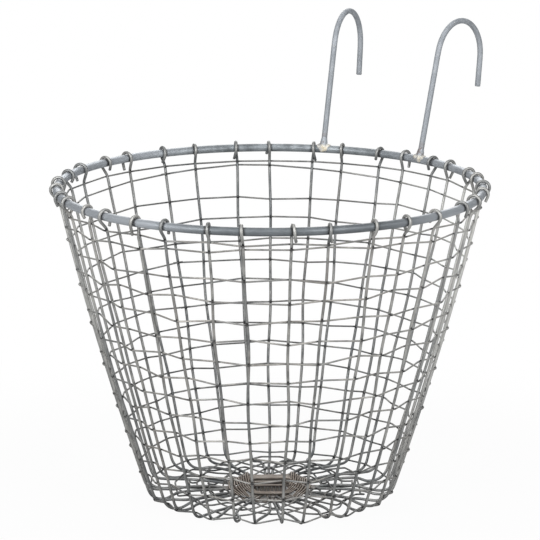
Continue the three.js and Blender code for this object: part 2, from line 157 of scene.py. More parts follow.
class BASKET_PG_colours(bpy.types.PropertyGroup):
    """Colours of the basket's metals."""

    rim_light: colour("Rim zinc", "Zinc on the rim", (0.270, 0.296, 0.315))
    # Dark zinc of the rim's cloudy finish, also the painted shade on the rim's front
    rim_dark: colour("Rim shade", "Duller zinc on the rim", (0.100, 0.112, 0.122))
    # Painted highlight on two sides of the rim
    rim_painted_highlight: colour("Rim bloom", "Pale zinc on two sides of the rim", (0.470, 0.500, 0.540))
    hook_light: colour("Hook zinc", "Zinc on the hooks", (0.335, 0.358, 0.386))
    hook_dark: colour("Hook shade", "Duller zinc on the hooks", (0.235, 0.254, 0.276))
    stake_light: colour("Stake zinc", "Weathered zinc on the stakes", (0.310, 0.308, 0.295))
    stake_dark: colour("Stake shade", "Dark zinc on the stakes", (0.070, 0.073, 0.075))
    weft_light: colour("Weft zinc", "Weathered zinc on the weft", (0.295, 0.286, 0.268))
    weft_dark: colour("Weft shade", "Brownish zinc on the weft", (0.072, 0.068, 0.064))
    hub_light: colour("Hub wire", "Browned wire round the hub", (0.235, 0.195, 0.165))
    # Painted shade between the winding's loops
    winding_painted_shade: colour("Hub shade", "Dark brown between the windings", (0.012, 0.009, 0.007))
    winding_light: colour("Winding", "Browned wire of the winding", (0.330, 0.285, 0.245))
    weld_light: colour("Weld", "Pale flux on the welds", (0.590, 0.570, 0.520))
    weld_dark: colour("Weld shade", "Grey metal of the welds", (0.270, 0.280, 0.290))
    weld_tint: colour("Weld tint", "Yellow heat tint on the welds", (0.560, 0.450, 0.230))
    scorch: colour("Scorch", "Brown heat marks beside the welds", (0.200, 0.175, 0.170))
    # Painted shade at the back and low down, and the dark of the zinc's upright streaks
    painted_shade_and_streak: colour("Back shade", "Cool dark zinc at the back", (0.110, 0.120, 0.128))
    # Painted shade: the dark contact shadow where wires meet, beside the rim's loops and under the low
    # wires
    crossing: colour("Crossings", "Dark grime where wires meet", (0.020, 0.020, 0.021))
    # Painted light in front, on two sides and on the loops at the top
    painted_light: colour("Pale side", "Chalky zinc on the sides", (0.585, 0.585, 0.565))
    floor: colour("Floor", "Pale floor and backdrop", (0.55, 0.55, 0.55))


def wave(rates, *values):
    """A sine wave of a sum of values, each multiplied by its rate. It sets wires a little apart."""
    return np.sin(sum(rate * value for rate, value in zip(rates, values)))


class Layout:
    """The basket's shared lines, from its sizes: wall, corner, stakes, spokes and rim."""

    bundle = 3
    bundles_in_arm = 3
    arms = 4
    bundle_spread = math.radians(26)
    fan_power = 4
    upper_rows = (0, 1, 2, 0, 2, 1, 2, 1, 0)
    sway_rates = (7.1, 2.4)
    ripple_rates = (17.0, 4.1)
    ripple_share = 0.5
    lift_rates = (2.9, 0.6)
    lift_power = 1.5
    shift_rates = (4.7, 1.3)
    foot_shift = 1.1 * MM

    def __init__(self, sizes):
        self.s = sizes
        self.rim_radius = (sizes.rim_outside - sizes.rim_rod) / 2
        self.foot_height = sizes.stake_wire / 2
        self.corner_turn = math.pi / 2 - float(self.wall_lean(sizes.corner_bend / 2))
        self.corner_top = self.foot_height + sizes.corner_bend * (1 - math.cos(self.corner_turn))
        reach = sizes.corner_bend * math.sin(self.corner_turn)
        self.corner_start = float(self.wall_radius(self.corner_top)) - reach
        self.foot_inner = self.corner_start - sizes.foot_length
        self.ramp_inner = self.foot_inner - sizes.foot_ramp
        self.spoke_pitch = sizes.stake_wire + sizes.spoke_gap
        self.layer_rise = sizes.stake_wire + sizes.layer_gap
        self.loop_radius = (sizes.rim_rod + sizes.stake_wire) / 2 + sizes.loop_gap
        self.hub_turn = sizes.stake_start + math.pi / 4
        self.wires_in_arm = self.bundle * self.bundles_in_arm
        self.rim_top = sizes.rim_height + sizes.rim_rod / 2

    def wall_radius(self, height):
        """Radius of the wall: a straight taper and a parabolic belly between floor and rim."""
        s = self.s
        share = height / s.rim_height
        taper = s.base_radius + (self.rim_radius - s.base_radius) * share
        return taper + s.wall_bulge * 4 * share * (1 - share)

    def wall_lean(self, height):
        """Lean of the wall from upright: the arctangent of its radius' rate of growth."""
        s = self.s
        share = height / s.rim_height
        rise = self.rim_radius - s.base_radius + s.wall_bulge * 4 * (1 - 2 * share)
        return np.arctan(rise / s.rim_height)

    def stake_angle(self, end):
        """Angle of a stake: even steps, drawn together in pairs, with a wave of two cycles."""
        s = self.s
        end = np.asarray(end)
        even = s.stake_start + end * TURN / s.stakes
        pair = np.where(end % 2 == 0, -s.stake_pair, s.stake_pair)
        return even + pair + s.stake_drift * np.cos(2 * (even - s.drift_turn))

    def stake_sway(self, end, height):
        """Sideways stray of a stake: two sine waves over the height, nil at floor and rim."""
        end = np.asarray(end)
        share = np.clip(np.asarray(height) / self.s.rim_height, 0, 1)
        sway = wave(self.sway_rates, share, end)
        ripple = self.ripple_share * wave(self.ripple_rates, share, end)
        return self.s.stake_wave * (sway + ripple) * np.sin(math.pi * share)

    def spoke_angle(self, end, radius):
        """Angle of a spoke: beside its bundle at the hub, easing to its stake at the corner."""
        end = np.asarray(end)
        group = end // self.bundle
        arm = group // self.bundles_in_arm
        share = np.clip((radius - self.s.hub_edge) / (self.foot_inner - self.s.hub_edge), 0, 1)
        spread = (group % self.bundles_in_arm - 1) * self.bundle_spread
        at_hub = self.hub_turn + arm * math.pi / 2 + spread
        middle = at_hub + (self.stake_angle(group * self.bundle + 1) - at_hub) * share
        beside = middle + (end % self.bundle - 1) * np.arcsin(self.spoke_pitch / radius)
        return beside + (self.stake_angle(end) - beside) * share ** self.fan_power

    def spoke_level(self, level, radius):
        """Height of a spoke on a level of the hub: all ease down to the lowest one."""
        s = self.s
        share = np.clip((s.layer_end - radius) / (s.layer_end - s.hub_edge), 0, 1)
        return s.spoke_height + self.layer_rise * level * share

    def bundle_rise(self, radius):
        """How far the middle spokes lie over the others: the root of a half sine wave between the
        hub's winding and the ramps down to the feet."""
        span = self.ramp_inner - self.s.bundle_start
        share = np.clip((radius - self.s.bundle_start) / span, 0, 1)
        return self.s.bundle_lift * np.sqrt(np.sin(math.pi * share).clip(0))

    def foot_stray(self, end):
        """How far a foot stays off the floor, a power of a raised sine wave, and how far it stands
        in or out, a sine wave."""
        raised = 0.5 + 0.5 * wave(self.lift_rates, end, 1)
        shift = self.foot_shift * wave(self.shift_rates, end, 1)
        return self.s.foot_lift * raised ** self.lift_power, shift


def polar(radius, turn, height):
    """Points at a radius, an angle round the axis and a height."""
    radius, turn, height = np.broadcast_arrays(radius, turn, height)
    return np.stack([radius * np.cos(turn), radius * np.sin(turn), height], axis=-1)


def radial(turn):
    """Unit vectors that point outwards at an angle round the axis."""
    return polar(1.0, turn, 0.0)


def tangential(turn):
    """Unit vectors along the rim at an angle round the axis."""
    return polar(1.0, np.asarray(turn) + math.pi / 2, 0.0)


def unit(vectors):
    """Vectors scaled to length one."""
    return vectors / np.linalg.norm(vectors, axis=-1, keepdims=True)


FEWEST_STEPS = 8
BELL_REACH = 3


def bent_wire(points, step, softness):
    """A wire's line through corner points: the polyline is sampled at an even step, and each
    sample is the bell-weighted mean of its neighbours, so that corners become round bends.
    The ends are carried on straight before the mean, so that they stay in place."""
    points = np.asarray(points, float)
    along = np.concatenate([[0], np.cumsum(np.linalg.norm(np.diff(points, axis=0), axis=1))])
    count = max(int(round(along[-1] / step)), FEWEST_STEPS)
    places = np.linspace(0, along[-1], count + 1)
    line = np.stack([np.interp(places, along, points[:, i]) for i in range(3)], axis=1)
    spread = softness / (along[-1] / count)
    reach = int(math.ceil(BELL_REACH * spread))
    before = 2 * line[0] - line[reach:0:-1]
    after = 2 * line[-1] - line[-2:-reach - 2:-1]
    long = np.concatenate([before, line, after])
    offsets = np.arange(-reach, reach + 1)
    weights = np.exp(-0.5 * (offsets / spread) ** 2)
    weights /= weights.sum()
    return np.stack([np.convolve(long[:, i], weights, "valid") for i in range(3)], axis=1)


def ring_quads(rings, facets, closed=False):
    """Faces between rings of points, from each ring to the next one and round each ring. In a
    closed row the last ring is joined to the first."""
    rows = np.arange(rings if closed else rings - 1)
    row, col = np.meshgrid(rows, np.arange(facets), indexing="ij")
    after_row, after_col = (row + 1) % rings, (col + 1) % facets
    corners = [(row, col), (row, after_col), (after_row, after_col), (after_row, col)]
    return np.stack([down * facets + along for down, along in corners], axis=-1).reshape(-1, 4)


END_BEVEL = 0.25
END_CAP = 0.72


def tube(line, sides_at, radius, facets, closed=False):
    """A round wire: at each point of its line a circle, square to the line, that starts from a
    given side direction. Open ends get a small bevel and a flat cap. Gives points and faces."""
    line = np.asarray(line, float)
    radius = np.broadcast_to(np.asarray(radius, float), (len(line),)).copy()
    if closed:
        tangent = unit(np.roll(line, -1, axis=0) - np.roll(line, 1, axis=0))
    else:
        tangent = unit(np.gradient(line, axis=0))
    side = np.broadcast_to(sides_at, line.shape)
    if not closed:
        bevel = END_BEVEL * radius[[0, -1]][:, None] * tangent[[0, -1]]
        line = np.concatenate([line[:1] - bevel[:1], line, line[-1:] + bevel[1:]])
        tangent = np.concatenate([tangent[:1], tangent, tangent[-1:]])
        side = np.concatenate([side[:1], side, side[-1:]])
        radius = np.concatenate([END_CAP * radius[:1], radius, END_CAP * radius[-1:]])
    first = unit(side - (side * tangent).sum(axis=1, keepdims=True) * tangent)
    second = np.cross(tangent, first)
    turn = np.arange(facets) * TURN / facets
    rings = (
        line[:, None]
        + radius[:, None, None] * np.cos(turn)[None, :, None] * first[:, None]
        + radius[:, None, None] * np.sin(turn)[None, :, None] * second[:, None]
    )
    count = len(line)
    faces = ring_quads(count, facets, closed).tolist()
    if not closed:
        ring = np.arange(facets)
        faces.append(ring[::-1].tolist())
        faces.append((ring + (count - 1) * facets).tolist())
    return rings.reshape(-1, 3), faces


def add_piece(name, shape, material, slot, *nodes, painted_shade=None):
    """A named mesh object from points and faces, with its finish, body and CAD nodes; the slot is not
    used. A value of painted shade for each point becomes an attribute that the finish reads."""
    points, faces = shape
    mesh = bpy.data.meshes.new(name)
    mesh.from_pydata(points.tolist(), [], faces)
    mesh.shade_smooth()
    mesh.update()
    if mesh.validate():
        raise RuntimeError(f"{name} has bad faces")
    # The attribute carries where the finish paints shade
    if painted_shade is not None:
        mesh.attributes.new("painted_shade", "FLOAT", "POINT").data.foreach_set("value", painted_shade)
    piece = bpy.data.objects.new(name, mesh)
    bpy.context.scene.collection.objects.link(piece)
    mesh.materials.append(material)
    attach(piece, "root")
    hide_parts(*nodes)


# Each BENDS pair holds the sample step and the softness that bent_wire takes
STAKE_BENDS = (0.9 * MM, 1.15 * MM)
STAKE_FACETS = 10
CUT_POINTS = 8
SPOKE_POINTS = 24
CORNER_POINTS = 9
WALL_POINTS = 40
LOOP_POINTS = 15
LOOP_TURN = math.radians(205)
LOOP_LEAD = math.radians(-28)
LOOP_SIZE = 0.97
LOOP_SIZE_CHANGE = 0.05
LOOP_RATES = (3.7,)
LOOP_SWELL = 0.1
LOOP_DRIFT = 0.6
TAIL_LEAST = 0.55
TAIL_GROWTH = 0.28
TAIL_SIZES = 5
TAIL_SKIP = 7
TAIL_TURNS_BACK = 3


def rim_loop(lay, end):
    """A stake's loop: an arc of more than a half circle over the rim and a straight tail that
    tucks in under it, both leaning to one side. Even stakes rise outside the rim and odd ones
    inside. Loops and tails differ a little in size."""
    s = lay.s
    turn = float(lay.stake_angle(end))
    side = 1 if end % 2 == 0 else -1
    drift = tangential(turn) * s.tail_shift * (-1 if end % TAIL_TURNS_BACK == 0 else 1)
    radius = lay.loop_radius * (LOOP_SIZE + LOOP_SIZE_CHANGE * wave(LOOP_RATES, end))
    bend = np.linspace(LOOP_LEAD if side > 0 else 0, LOOP_TURN, LOOP_POINTS)
    loop = polar(
        lay.rim_radius + side * radius * np.cos(bend),
        turn,
        s.rim_height + radius * np.sin(bend),
    )
    loop += drift * (np.linspace(0, 1, LOOP_POINTS) * LOOP_DRIFT)[:, None]
    size = (end * TAIL_SKIP) % TAIL_SIZES
    tail_length = s.tail_length * (TAIL_LEAST + TAIL_GROWTH * size)
    inward = -side * math.sin(LOOP_TURN) * radial(turn) + math.cos(LOOP_TURN) * UP
    tail = loop[-1:] + tail_length * inward + (1 - LOOP_DRIFT) * drift
    return np.concatenate([loop, tail])


def stake_end_line(lay, end, level):
    """One end of a stake wire from the hub outwards: a spoke that keeps to its bundle and then
    fans out, a ramp down to the foot, an arc up into the wall, the wall with its sway, and the
    loop. The end past the last stake is cut off near the hub."""
    s = lay.s
    if end >= s.stakes:
        radius = np.linspace(s.hub_edge, s.layer_end, CUT_POINTS)
        return polar(radius, lay.spoke_angle(end, radius), lay.spoke_level(level, radius))
    turn = float(lay.stake_angle(end))
    radius = np.linspace(s.hub_edge, lay.ramp_inner, SPOKE_POINTS)
    height = lay.spoke_level(level, radius) + (end % lay.bundle == 1) * lay.bundle_rise(radius)
    spoke = polar(radius, lay.spoke_angle(end, radius), height)
    lift, stray = lay.foot_stray(end)
    foot = polar(lay.foot_inner + stray, turn, lay.foot_height + lift)[None]
    climb = np.linspace(0, lay.corner_turn, CORNER_POINTS)
    left = 1 - climb / lay.corner_turn
    corner = polar(
        lay.corner_start + s.corner_bend * np.sin(climb) + stray * left,
        turn,
        lay.foot_height + s.corner_bend * (1 - np.cos(climb)) + lift * left,
    )
    height = np.linspace(lay.corner_top, s.rim_height - s.neck_drop, WALL_POINTS)[1:]
    wall = polar(lay.wall_radius(height), turn, height)
    wall += lay.stake_sway(end, height)[:, None] * tangential(turn)
    return np.concatenate([spoke, foot, corner, wall, rim_loop(lay, end)])


def stake_wire(lay, first, second, upper):
    """A whole stake wire: one end reversed, a straight run across the hub, and the other end.
    Lower wires lie side by side in the hub, and upper ones are stacked in three rows. The zinc
    lies a little thicker on the loops at the rim."""
    s = lay.s
    lane = first % lay.wires_in_arm
    level = 1 + lay.upper_rows[lane] if upper else 0
    place = lane // lay.bundle - 1 if upper else lane - (lay.wires_in_arm - 1) / 2
    arm = lay.hub_turn + (0 if upper else math.pi / 2)
    height = float(lay.spoke_level(level, s.cross_half))
    reach = np.array([s.cross_half, -s.cross_half])[:, None]
    cross = reach * radial(arm) + place * lay.spoke_pitch * tangential(arm) + height * UP
    ends = [stake_end_line(lay, end, level) for end in (first, second)]
    line = bent_wire(np.concatenate([ends[0][::-1], cross, ends[1]]), *STAKE_BENDS)
    share = np.clip(0.5 + line @ radial(arm) / (4 * s.hub_edge), 0, 1)[:, None]
    first_side = tangential(lay.stake_angle(first))
    second_side = -tangential(lay.stake_angle(second))
    sides = unit(share * first_side + (1 - share) * second_side)
    at_rim = np.clip((line[:, 2] - s.rim_height + s.neck_drop) / s.neck_drop, 0, 1)
    return tube(line, sides, s.stake_wire / 2 * (1 + LOOP_SWELL * at_rim), STAKE_FACETS)


PAIR_TURN = math.radians(129)
PAIR_POWER = 1.1
SLOW_RATES = (0.9, 2.1)
SLOW_SHARE = 0.6
QUICK_RATES = (2.3, -1.3)


def weft_heights(lay, round_index, stake):
    """Height of a weft round at the stakes: the two top rounds part and close twice round the
    basket, by a power of a sine wave, and the plain rounds below are level with a wander of two
    sine waves."""
    s = lay.s
    stake = np.asarray(stake)
    if round_index == 0:
        return np.full(stake.shape, s.rim_height - s.top_round)
    if round_index == 1:
        parting = 2 * np.abs(np.sin(lay.stake_angle(stake) - PAIR_TURN)) ** PAIR_POWER
        return s.rim_height - s.top_round - s.pair_least - s.pair_wave * parting
    plain = round_index - 2
    slow = SLOW_SHARE * wave(SLOW_RATES, stake, plain)
    quick = (1 - SLOW_SHARE) * wave(QUICK_RATES, stake, plain)
    level = s.rim_height - s.first_round - plain * s.round_pitch
    return level + s.wander * (slow + quick)


WEFT_BENDS = (1.2 * MM, 1.6 * MM)
WEFT_FACETS = 8
WEFT_START = 16
WEFT_STUB = 2.2 * MM
WEFT_OFFSET = 1.66 * MM
CORNER_CLIMB = 2 / 3


def weft_points(lay, crossing):
    """Where a weft round passes each stake in turn, outside one and inside the next. crossing
    gives radius, angle and height."""
    step = np.arange(lay.s.stakes + 1)
    stake = (WEFT_START + step) % lay.s.stakes
    side = np.where(step % 2 == 0, 1.0, -1.0)
    return polar(*crossing(stake, side))


def weft_line(points):
    """A weft round through its points, with a short end beyond the stake where it starts and
    stops, along the tangent there."""
    turn = np.arctan2(points[[0, -1], 1], points[[0, -1], 0])
    stub = WEFT_STUB * tangential(turn)
    points = np.concatenate([points[:1] - stub[:1], points, points[-1:] + stub[1:]])
    return bent_wire(points, *WEFT_BENDS)


def wall_crossing(lay, round_index):
    """Where a wall round passes the stakes: off the wall's line, square to its lean."""
    first = 1 if round_index % 2 == 0 else -1

    def place(stake, side):
        height = weft_heights(lay, round_index, stake)
        lean = lay.wall_lean(height)
        reach = first * side * WEFT_OFFSET
        radius = lay.wall_radius(height) + reach * np.cos(lean)
        turn = lay.stake_angle(stake) + lay.stake_sway(stake, height) / radius
        return radius, turn, height - reach * np.sin(lean)

    return place


def corner_crossing(lay):
    """Where the corner round passes the stakes: off the corner's arc, two thirds of the way up,
    with the part of each foot's stray that is left there."""

    def place(stake, side):
        turn = lay.corner_turn * CORNER_CLIMB
        reach = lay.s.corner_bend + side * WEFT_OFFSET
        lift, stray = (value * (1 - CORNER_CLIMB) for value in lay.foot_stray(stake))
        radius = lay.corner_start + reach * math.sin(turn) + stray
        height = lay.foot_height + lay.s.corner_bend - reach * math.cos(turn) + lift
        return radius, lay.stake_angle(stake), height

    return place


def wall_rounds():
    """The names of the wall rounds' CAD nodes, from the rim down."""
    return sorted(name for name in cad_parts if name.startswith("weft_round_"))


def all_crossings(lay):
    """The crossing of every wall round and of the corner round."""
    rounds = len(wall_rounds())
    return [wall_crossing(lay, index) for index in range(rounds)] + [corner_crossing(lay)]


BASE_BENDS = (0.9 * MM, 1.3 * MM)
BASE_ROUND_FIRST = 28.5 * MM
BASE_ROUND_PITCH = 6.4 * MM
BASE_ROUND_COUNT = 5
BASE_OFFSET = 1.86 * MM
BASE_LOOSE = 0.9 * MM
BASE_LOOSE_RATES = (2.3, 1.1)
BASE_WANDER = 1.0 * MM
BASE_WANDER_RATES = (1.7, 2.3)
BASE_BOW = 1.7 * MM
BASE_BOW_RISE = 0.3 * MM
BASE_BOW_CHANGE = 1.4 * MM
BASE_BOW_RATES = (2.9, 2.1)
BASE_ENDS = np.array([-2.2, -2.8]) * MM


def base_round_points(lay, index):
    """Where a round in the base runs: loosely over one bundle of spokes and close under the next,
    bowed outwards between them, its radius and its height over the bundles wandering by sine
    waves. Each row has both sides of a bundle and the bow after it."""
    radius = BASE_ROUND_FIRST + index * BASE_ROUND_PITCH
    bundle = np.arange(lay.arms * lay.bundles_in_arm)
    left = lay.spoke_angle(bundle * lay.bundle, radius)
    last = np.minimum(bundle * lay.bundle + lay.bundle, lay.s.stakes) - 1
    right = lay.spoke_angle(last, radius)
    following = np.append(left[1:], left[0] + TURN)
    over = (bundle + index) % 2 == 0
    near = radius + BASE_WANDER * wave(BASE_WANDER_RATES, bundle, index)
    far = near + BASE_BOW + BASE_BOW_CHANGE * wave(BASE_BOW_RATES, bundle, index)
    middle = lay.spoke_level(0, radius)
    loose = BASE_LOOSE * (1 + wave(BASE_LOOSE_RATES, bundle, index)) / 2
    high = middle + np.where(over, BASE_OFFSET + lay.bundle_rise(radius) + loose, -BASE_OFFSET)
    rows = [
        polar(near, left, high),
        polar(near, right, high),
        polar(far, (right + following) / 2, middle + BASE_BOW_RISE),
    ]
    return np.stack(rows, axis=1)


def base_crossings(points):
    """The points of a base round that lie on a bundle's two sides."""
    return points[:, :2].reshape(-1, 3)


def base_round_line(points):
    """A base round through its points, its two ends butted beside the first bundle."""
    first = points[0, 0]
    radius, turn = math.hypot(first[0], first[1]), math.atan2(first[1], first[0])
    ends = polar(radius, turn + BASE_ENDS / radius, first[2])
    return bent_wire(np.concatenate([ends[:1], points.reshape(-1, 3), ends[1:]]), *BASE_BENDS)


BINDING_BENDS = (0.7 * MM, 0.8 * MM)
BINDING_FACETS = 12
BINDING_LOOPS = 9
BINDING_TIGHT = 6
BINDING_OVER = 4
BINDING_START = 12.4 * MM
BINDING_PITCH = 1.28 * MM
BINDING_SLACK = 0.3 * MM
BINDING_SQUARE = 1.8 * MM
BINDING_ARM = math.radians(36)
BINDING_ARM_POINTS = 9
BINDING_GAP = 0.1 * MM
BINDING_CLEAR = 0.35 * MM
BINDING_SHOULDER = 0.42
BINDING_RISE = 2


def binding_line(lay):
    """The hub's winding: a spiral, a little square, that arches over the stacked upper arms. Its
    inner loops go over the lower arms, and the outer ones under them. The last are slacker."""
    loop, arm, share = np.meshgrid(
        np.arange(BINDING_LOOPS),
        np.arange(lay.arms),
        np.linspace(-1, 1, BINDING_ARM_POINTS),
        indexing="ij",
    )
    turn = arm * math.pi / 2 + share * BINDING_ARM
    wound = loop + turn / TURN
    slack = BINDING_SLACK * np.maximum(wound - BINDING_TIGHT, 0)
    radius = BINDING_START + BINDING_PITCH * wound + slack + BINDING_SQUARE * np.abs(share)
    offset = (lay.s.stake_wire + lay.s.binding_wire) / 2 + BINDING_GAP
    upper = arm % 2 == 0
    arch = 1 + BINDING_RISE * np.clip((1 - np.abs(share)) / BINDING_SHOULDER, 0, 1)
    level = lay.spoke_level(np.where(upper, arch, 0), radius)
    over = level + offset + np.where(upper, BINDING_CLEAR, 0)
    height = np.where(~upper & (loop >= BINDING_OVER), level - offset, over)
    points = polar(radius, lay.hub_turn + turn, height).reshape(-1, 3)
    return bent_wire(points, *BINDING_BENDS)


# Each pair below holds the distances from a crossing where the painted contact shadow starts to fade
# and ends
RIM_CONTACT_SHADE = (2.3 * MM, 3.3 * MM)
STAKE_CONTACT_SHADE = (0.9 * MM, 2.1 * MM)
WEFT_CONTACT_SHADE = (0.8 * MM, 1.9 * MM)
# Heights where the painted shade under the low wires is full and where it is gone
UNDERSIDE_FULL = 7 * MM
UNDERSIDE_END = 14 * MM


def crossing_shade_mask(points, marks, near, far):
    """How close each point of a tube is to the nearest mark, for painted contact shadow: 1 up to
    the near distance, falling in a straight line to 0 at the far one."""
    apart = np.linalg.norm(points[:, None] - marks[None], axis=2).min(axis=1)
    return np.clip((far - apart) / (far - near), 0, 1)


def ring_directions(points, facets):
    """The middle of each ring of a tube, and the direction of each point from there."""
    rings = points.reshape(-1, facets, 3)
    middle = rings.mean(axis=1, keepdims=True)
    return middle, unit(rings - middle)


def winding_shade_mask(points):
    """How far each point of the winding's tube faces its neighbour loops, for painted shade between
    the loops: the share of its direction from the tube's middle that lies along the hub's radius."""
    middle, direction = ring_directions(points, BINDING_FACETS)
    outward = unit(middle * np.array([1.0, 1.0, 0.0]))
    return np.abs((direction * outward).sum(axis=2)).ravel()


def underside_shade_mask(points, facets):
    """How far each point of a tube near the floor faces down, for painted shade under the wires: the
    downward share of its direction from the tube's middle, which fades out over a band of heights."""
    middle, direction = ring_directions(points, facets)
    low = (UNDERSIDE_END - middle[:, :, 2]) / (UNDERSIDE_END - UNDERSIDE_FULL)
    return (np.clip(-direction[:, :, 2], 0, 1) * np.clip(low, 0, 1)).ravel()


HOOK_BENDS = (1.0 * MM, 3.0 * MM)
HOOK_FACETS = 20
HOOK_POINTS = 40
HOOK_SUNK = 0.8 * MM
HANDS = {"left": -1, "right": 1}


def hook_place(lay, sign):
    """A hook's foot on the rim's top and the outward direction of its plane."""
    s = lay.s
    foot = polar(lay.rim_radius, math.pi / 2 - sign * s.hook_foot_turn, lay.rim_top)
    return foot, radial(math.pi / 2 - sign * s.hook_splay)


def hook_line(lay, sign):
    """A hook's line in its upright plane: a leaning stem, an arc over the top and a short tip.
    It starts inside the rim's rod, where the weld holds it."""
    s = lay.s
    foot, outward = hook_place(lay, sign)
    stem = np.array([math.sin(s.hook_lean), math.cos(s.hook_lean)])
    centre = stem * s.hook_stem + s.hook_bend * np.array([stem[1], -stem[0]])
    end_turn = math.pi + s.hook_tip_lean
    turn = np.linspace(s.hook_lean, end_turn, HOOK_POINTS)
    arc = centre - s.hook_bend * np.stack([np.cos(turn), -np.sin(turn)], axis=1)
    tip = arc[-1] + s.hook_tip * np.array([math.sin(end_turn), math.cos(end_turn)])
    flat = np.concatenate([-HOOK_SUNK * stem[None], arc, tip[None]])
    return bent_wire(foot + flat[:, :1] * outward + flat[:, 1:] * UP, *HOOK_BENDS)


WELD_FACETS = 48
WELD_DOME_RINGS = 14
WELD_FLARE_RINGS = 12
WELD_WRAP_INNER = math.radians(118)
WELD_WRAP_OUTER = math.radians(70)
WELD_SHOULDER = 0.5
WELD_LUMPS, WELD_LUMP_SIZE = 3, 0.10
WELD_RIPPLES, WELD_RIPPLE_SIZE = 7, 0.06
WELD_SUNK = 0.05 * MM
WELD_WAIST_RISE = 1.0 * MM
WELD_WAIST_CLEAR = 0.8 * MM


def weld_shape(lay, sign):
    """A weld bead in rings round a hook's foot. The lower rings lie on the rim: their reach along
    it and their angle round it shrink together, while the metal swells like a dome. The upper
    rings follow a quadratic curve in over a waist and up the stem. Lumps are sine waves round
    the bead. Both ends close inside the rods."""
    s = lay.s
    foot, outward = hook_place(lay, sign)
    rim_turn = math.pi / 2 - sign * s.hook_foot_turn
    along, across = tangential(rim_turn), radial(rim_turn)
    stem = math.sin(s.hook_lean) * outward + math.cos(s.hook_lean) * UP
    rim_centre = foot - s.rim_rod / 2 * UP
    turn = np.arange(WELD_FACETS) * TURN / WELD_FACETS
    lump = 1 + WELD_LUMP_SIZE * np.sin(WELD_LUMPS * turn + 1 + sign)
    lump += WELD_RIPPLE_SIZE * np.sin(WELD_RIPPLES * turn + 2 * sign)
    wrap = np.where(np.sin(turn) < 0, WELD_WRAP_INNER, WELD_WRAP_OUTER) * np.sin(turn) * lump

    share = np.linspace(1, WELD_SHOULDER, WELD_DOME_RINGS)[:, None]
    skin = s.rim_rod / 2 - WELD_SUNK + s.weld_swell * lump ** 2 * np.sqrt(1 - share ** 2)
    dome = (
        rim_centre
        + (s.weld_reach * share * lump * np.cos(turn))[:, :, None] * along
        + (skin * np.sin(wrap * share))[:, :, None] * across
        + (skin * np.cos(wrap * share))[:, :, None] * UP
    )
    ring = np.cos(turn)[:, None] * along + np.sin(turn)[:, None] * unit(np.cross(along, stem))
    waist = foot + WELD_WAIST_RISE * stem + (s.hook_rod / 2 + WELD_WAIST_CLEAR) * ring
    neck = foot + s.weld_height * lump[:, None] * stem + (s.hook_rod / 2 - WELD_SUNK) * ring
    weight = np.linspace(0, 1, WELD_FLARE_RINGS + 1)[1:, None, None]
    flare = (1 - weight) ** 2 * dome[-1] + 2 * (1 - weight) * weight * waist + weight ** 2 * neck
    rings = np.concatenate([dome, flare])

    poles = [rim_centre, foot + s.weld_height * stem]
    points = np.concatenate([rings.reshape(-1, 3), poles])
    quads = np.roll(ring_quads(len(rings), WELD_FACETS)[:, ::-1], 1, axis=1)
    first = np.arange(WELD_FACETS)
    following = (first + 1) % WELD_FACETS
    rim_pole = len(rings) * WELD_FACETS
    top_row = rim_pole - WELD_FACETS
    bottom = np.stack([first, following, np.full(WELD_FACETS, rim_pole)], axis=1)
    stem_pole = np.full(WELD_FACETS, rim_pole + 1)
    top = np.stack([top_row + following, top_row + first, stem_pole], axis=1)
    return points, quads.tolist() + bottom.tolist() + top.tolist()


# Sockets of a Mix node that mixes colours: share, both colours and the result
MIX_SHARE, MIX_FIRST, MIX_SECOND, MIX_RESULT = 0, 6, 7, 2


class Socket:
    """A shader socket. Arithmetic on sockets adds Math nodes, and node() adds any other node."""

    def __init__(self, tree, socket=None):
        self.tree = tree
        self.socket = socket

    def node(self, kind, settings=None, inputs=None, output=0):
        """Adds a node, sets its settings and then its sockets' values or links."""
        node = self.tree.nodes.new(kind)
        for name, value in (settings or {}).items():
            setattr(node, name, value)
        for name, value in (inputs or {}).items():
            if isinstance(value, Socket):
                self.tree.links.new(value.socket, node.inputs[name])
            else:
                node.inputs[name].default_value = value
        return Socket(self.tree, node.outputs[output]) if node.outputs else None

    def math(self, operation, first, second):
        """A Math node on two values or sockets."""
        return self.node("ShaderNodeMath", {"operation": operation}, {0: first, 1: second})

    def __add__(self, other):
        return self.math("ADD", self, other)

    __radd__ = __add__

    def __sub__(self, other):
        return self.math("SUBTRACT", self, other)

    def __rsub__(self, other):
        return self.math("SUBTRACT", other, self)

    def __mul__(self, other):
        return self.math("MULTIPLY", self, other)

    __rmul__ = __mul__

    def step(self, low, high):
        """A smooth step from 0 at the low value to 1 at the high one."""
        return self.node(
            "ShaderNodeMapRange",
            {"interpolation_type": "SMOOTHSTEP"},
            {"Value": self, "From Min": low, "From Max": high},
        )

    def place(self):
        """The object's own coordinates, in metres."""
        return self.node("ShaderNodeTexCoord", output="Object")

    def axes(self):
        """The object's own x, y and z, in metres."""
        inputs = {0: self.place()}
        return [self.node("ShaderNodeSeparateXYZ", None, inputs, axis) for axis in range(3)]

    def noise(self, scale, detail, seed, upright=1.0):
        """Cloud noise over the object's own coordinates, in cycles per metre. An upright factor
        below 1 stretches it into upright streaks."""
        moved = self.node(
            "ShaderNodeVectorMath",
            {"operation": "MULTIPLY_ADD"},
            {0: self.place(), 1: (1.0, 1.0, upright), 2: (seed, seed, seed)},
        )
        inputs = {"Vector": moved, "Scale": scale, "Detail": detail}
        return self.node("ShaderNodeTexNoise", inputs=inputs)

    def mix(self, first, second, share):
        """A colour between two colours."""
        inputs = {MIX_SHARE: share, MIX_FIRST: first, MIX_SECOND: second}
        return self.node("ShaderNodeMix", {"data_type": "RGBA"}, inputs, MIX_RESULT)


